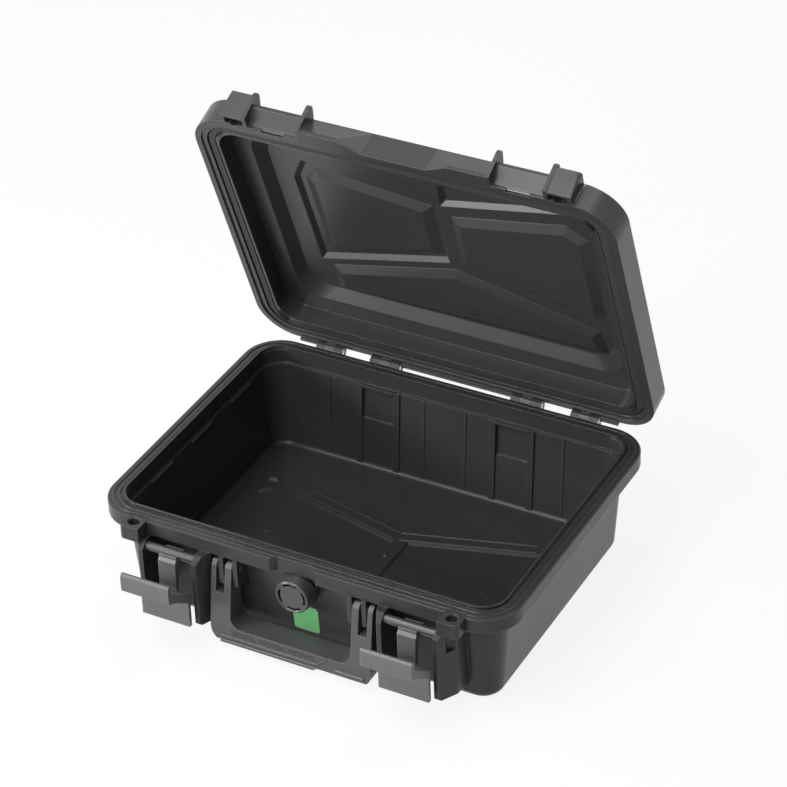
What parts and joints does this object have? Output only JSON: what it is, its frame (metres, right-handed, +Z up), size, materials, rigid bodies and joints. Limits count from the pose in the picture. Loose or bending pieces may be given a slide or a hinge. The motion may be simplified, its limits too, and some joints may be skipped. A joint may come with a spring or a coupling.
{
  "type": "protective case",
  "caption": "Shallow protective case with a hinged lid standing open, snap latches on round bars, a folding carry handle and a pressure valve.",
  "frame": {"origin": "middle of the flat underside of the base", "axes": "+Z up, -Y toward the latches and handle, +X to the right as seen from the front"},
  "size_m": [0.3396, 0.322, 0.3477],
  "materials": {
    "shell_plastic": "fine moulded grain",
    "handle_plastic": "fine moulded grain",
    "latch_plastic": "fine moulded grain",
    "bar": "smooth",
    "valve_plastic": "fine moulded grain",
    "seal_rubber": "smooth",
    "pin_steel": "drawn",
    "membrane": "fine weave",
    "label": "printed film"
  },
  "bodies": {
    "base": {"base_shell": "shell_plastic", "padlock_eye_left": "shell_plastic", "padlock_eye_right": "shell_plastic", "latch_bar_left": "bar", "latch_bar_right": "bar", "valve_body": "valve_plastic", "valve_cap": "valve_plastic", "valve_membrane": "membrane", "valve_seal_ring": "seal_rubber", "valve_lock_nut": "valve_plastic", "front_label": "label", "hinge_pin_inner_left": "pin_steel", "hinge_pin_inner_right": "pin_steel", "hinge_pin_outer_left": "pin_steel", "hinge_pin_outer_right": "pin_steel", "handle_pin_left": "pin_steel", "handle_pin_right": "pin_steel"},
    "lid": {"lid_shell": "shell_plastic", "lid_seal": "seal_rubber"},
    "latch_left": {"latch_lever_left": "latch_plastic"},
    "latch_right": {"latch_lever_right": "latch_plastic"},
    "handle": {"handle": "handle_plastic"}
  },
  "joints": [
    {"name": "lid_hinge", "type": "hinge", "parent": "base", "child": "lid", "pos_m": [0, 0.1308, 0.0853], "axis": [1, 0, 0], "range_deg": [-45, 69.4]},
    {"name": "latch_left_swing", "type": "hinge", "parent": "base", "child": "latch_left", "pos_m": [-0.098, -0.132, 0.07], "axis": [-1, 0, 0], "range_deg": [-25, 93]},
    {"name": "latch_right_swing", "type": "hinge", "parent": "base", "child": "latch_right", "pos_m": [0.098, -0.132, 0.07], "axis": [-1, 0, 0], "range_deg": [-25, 93]},
    {"name": "handle_swing", "type": "hinge", "parent": "base", "child": "handle", "pos_m": [0, -0.1235, 0.066], "axis": [-1, 0, 0], "range_deg": [0, 90]}
  ]
}
